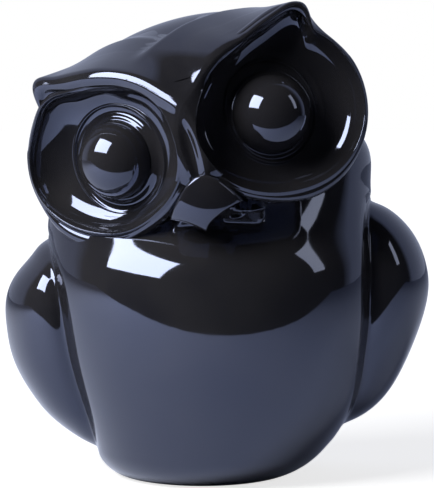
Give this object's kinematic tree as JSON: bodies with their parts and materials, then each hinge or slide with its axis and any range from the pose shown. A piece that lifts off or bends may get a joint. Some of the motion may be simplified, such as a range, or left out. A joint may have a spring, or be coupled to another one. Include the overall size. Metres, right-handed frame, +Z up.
{
  "type": "figural animal coin bank",
  "caption": "Hollow glazed ceramic owl money box with a tilted head, deep ringed eyes, folded wings, a coin slot behind the head and a push-in stopper under the foot.",
  "frame": {"origin": "middle of the bounding box in plan, on the plane the owl stands on", "axes": "+Z up, -Y the way the belly and beak face, +X to the viewer's right"},
  "size_m": [0.1416, 0.1023, 0.155],
  "materials": {
    "black_glaze": "gloss",
    "stopper_rubber": "matte"
  },
  "bodies": {
    "ceramic": {"trunk_shell": "black_glaze", "head_shell": "black_glaze", "left_wing": "black_glaze", "right_wing": "black_glaze", "left_eyeball": "black_glaze", "right_eyeball": "black_glaze", "left_brow_tuft": "black_glaze", "right_brow_tuft": "black_glaze", "beak": "black_glaze"},
    "stopper_body": {"stopper": "stopper_rubber"},
    "tab_body": {"pull_tab": "stopper_rubber"}
  },
  "joints": [
    {"name": "stopper_pull", "type": "slide", "parent": "ceramic", "child": "stopper_body", "axis": [0, 0, -1], "range_m": [0, 0.03]},
    {"name": "tab_fold", "type": "hinge", "parent": "stopper_body", "child": "tab_body", "pos_m": [-0.0048, 0.0123, 0.0032], "axis": [1, 0, 0], "range_deg": [0, 95]}
  ]
}
